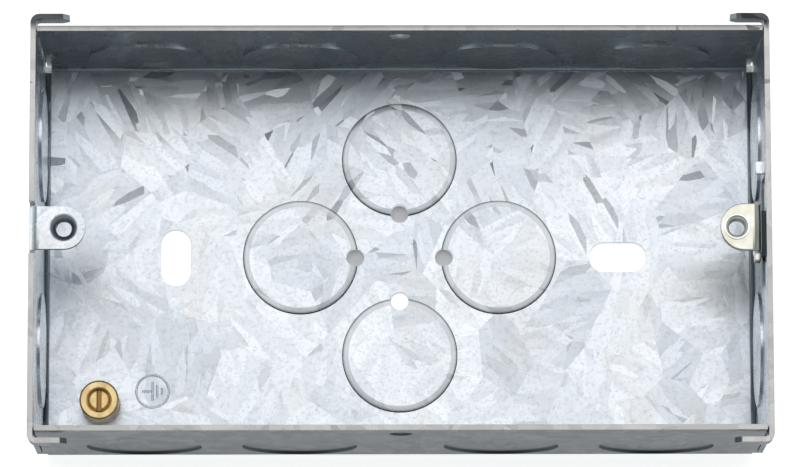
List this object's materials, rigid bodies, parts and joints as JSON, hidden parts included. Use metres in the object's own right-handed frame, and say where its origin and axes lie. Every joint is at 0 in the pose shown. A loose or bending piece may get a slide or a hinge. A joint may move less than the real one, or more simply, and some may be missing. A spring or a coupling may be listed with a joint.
{
  "type": "flush back box",
  "caption": "Shallow rectangular flush back box of folded galvanised sheet steel, with knockouts, fixing slots, a fixed and a sliding lug for the accessory's screws, and a brass earth terminal.",
  "frame": {"origin": "centre of the back's outer face, on which the box lies", "axes": "+X along the length, from the fixed lug to the adjustable one; +Y across the width; +Z out of the open mouth"},
  "size_m": [0.1336, 0.0778, 0.035],
  "materials": {
    "galvanised_sheet": "hot-dip galvanised, spangled",
    "zinc_plated_lug": "zinc plated, faintly yellow",
    "turned_brass": "turned",
    "screw_brass": "turned, slotted"
  },
  "bodies": {
    "box": {"box_shell": "galvanised_sheet", "earth_terminal_pillar": "turned_brass"},
    "sliding_lug": {"adjustable_lug": "zinc_plated_lug"},
    "terminal_screw": {"earth_terminal_screw": "screw_brass"}
  },
  "joints": [
    {"name": "lug_slide", "type": "slide", "parent": "box", "child": "sliding_lug", "axis": [0, 1, 0], "range_m": [-0.0056, 0.0056]},
    {"name": "terminal_screw_travel", "type": "slide", "parent": "box", "child": "terminal_screw", "axis": [0, 0, 1], "range_m": [-0.00165, 0]}
  ]
}
